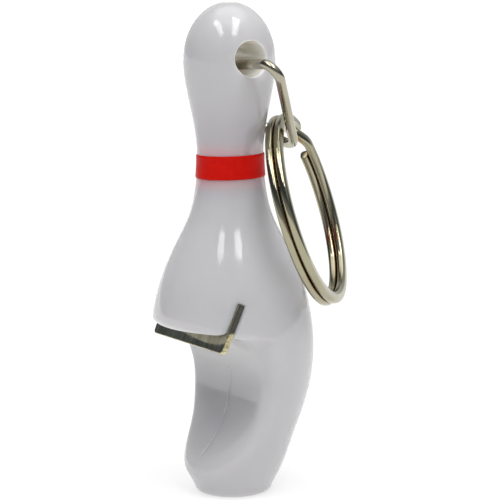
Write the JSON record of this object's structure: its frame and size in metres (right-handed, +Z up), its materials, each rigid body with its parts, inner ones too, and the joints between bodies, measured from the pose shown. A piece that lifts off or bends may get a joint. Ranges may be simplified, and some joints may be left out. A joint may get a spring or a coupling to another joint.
{
  "type": "bowling pin bottle opener key ring",
  "caption": "Bowling-pin shaped plastic bottle opener with a steel blade in its cap notch, a red neck band, and a split ring on a wire link through the head.",
  "frame": {"origin": "centre of the flat base of the pin", "axes": "+Z up along the pin's axis; the cap notch opens towards -Y; the head hole, the blade slot and the notch run through along X"},
  "size_m": [0.0285, 0.0356, 0.076],
  "materials": {
    "white_plastic": "glossy, slightly translucent moulded white plastic with a faint lilac cast",
    "blade_steel": "nickel-plated steel plate, mirror-like faces and duller sheared edges",
    "red_band": "glossy red band",
    "link_wire": "bright nickel-plated wire, warm tint, fine scratches",
    "ring_wire": "bright nickel-plated flattened spring wire, a little tarnish between the coils"
  },
  "bodies": {
    "pin": {"pin_body": "white_plastic", "opener_blade": "blade_steel", "neck_band": "red_band"},
    "link": {"wire_link": "link_wire"},
    "ring": {"split_ring": "ring_wire"}
  },
  "joints": [
    {"name": "link_swing", "type": "hinge", "parent": "pin", "child": "link", "pos_m": [0, -0.0003, 0.0664], "axis": [1, 0, 0], "range_deg": [0, 250]},
    {"name": "ring_swing", "type": "hinge", "parent": "link", "child": "ring", "pos_m": [0.00385, 0.00594, 0.05696], "axis": [0.7659, 0, -0.6429], "range_deg": [0, 70]}
  ]
}
